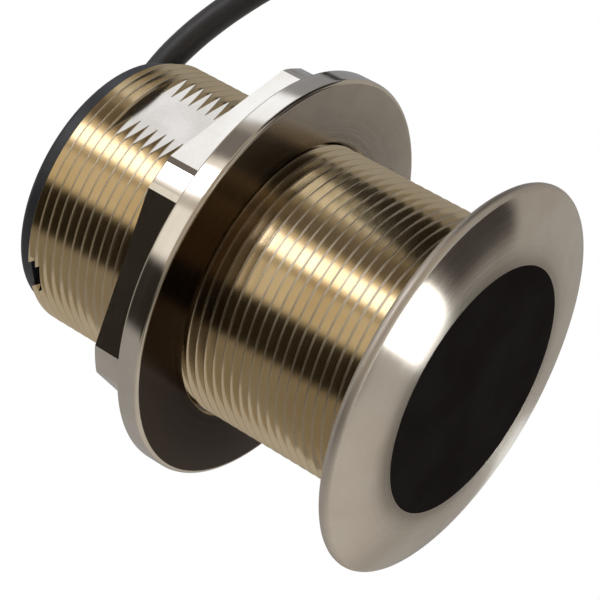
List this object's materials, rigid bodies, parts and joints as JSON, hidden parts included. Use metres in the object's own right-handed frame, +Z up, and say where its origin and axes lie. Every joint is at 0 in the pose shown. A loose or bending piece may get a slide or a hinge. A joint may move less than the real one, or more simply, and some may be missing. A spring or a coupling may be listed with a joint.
{
  "type": "sonar transducer",
  "caption": "Bronze through-hull sonar transducer with a flush black acoustic face, threaded stem, flanged hexagon hull nut and a coiled cable with a round connector",
  "frame": {"origin": "centre of the acoustic face, which stands on the ground plane", "axes": "+Z up the threaded stem, from the acoustic face to the rear cap; +X to the side where the cable leaves the cap; +Y across"},
  "size_m": [0.2354, 0.1405, 0.1008],
  "materials": {
    "bronze": "turned satin bronze, paler on the flange",
    "nut_bronze": "turned satin bronze",
    "window": "matte black cast resin",
    "ceramic": "fired ceramic",
    "foam": "closed-cell foam",
    "cork": "pressed cork",
    "lead_red": "insulated wire",
    "sensor": "resin-dipped bead",
    "lead_blue": "insulated wire",
    "board": "coated circuit board",
    "chip": "moulded chip",
    "resistor": "lacquered",
    "ferrite": "sintered ferrite",
    "bobbin": "moulded",
    "copper": "enamelled copper wire",
    "core_grey": "insulated wire",
    "potting": "cast resin",
    "cap": "moulded, slight sheen",
    "relief": "moulded elastomer",
    "cable": "smooth cable jacket",
    "tie": "woven hook-and-loop strap",
    "connector": "moulded",
    "coupling": "moulded with grip flutes",
    "insert": "moulded",
    "contact": "gold plated"
  },
  "bodies": {
    "transducer": {"housing": "bronze", "acoustic_window": "window", "piezo_element": "ceramic", "isolator_sleeve": "foam", "backing_pad": "cork", "element_leads": "lead_red", "temperature_sensor": "sensor", "sensor_leads": "lead_blue", "circuit_board": "board", "identity_chip": "chip", "tuning_resistors": "resistor", "transformer_core": "ferrite", "transformer_bobbin": "bobbin", "transformer_winding": "copper", "cable_cores": "core_grey", "potting_fill": "potting", "rear_cap": "cap", "strain_relief": "relief", "cable_run": "cable", "cable_coil": "cable", "coil_ties": "tie", "cable_tail": "cable", "connector_boot": "relief", "connector_body": "connector", "coupling_ring": "coupling", "contact_insert": "insert", "contact_sockets": "contact"},
    "nut": {"hull_nut": "nut_bronze"}
  },
  "joints": [
    {"name": "nut_travel", "type": "slide", "parent": "transducer", "child": "nut", "axis": [0, 0, 1], "range_m": [-0.04, 0.024]}
  ]
}
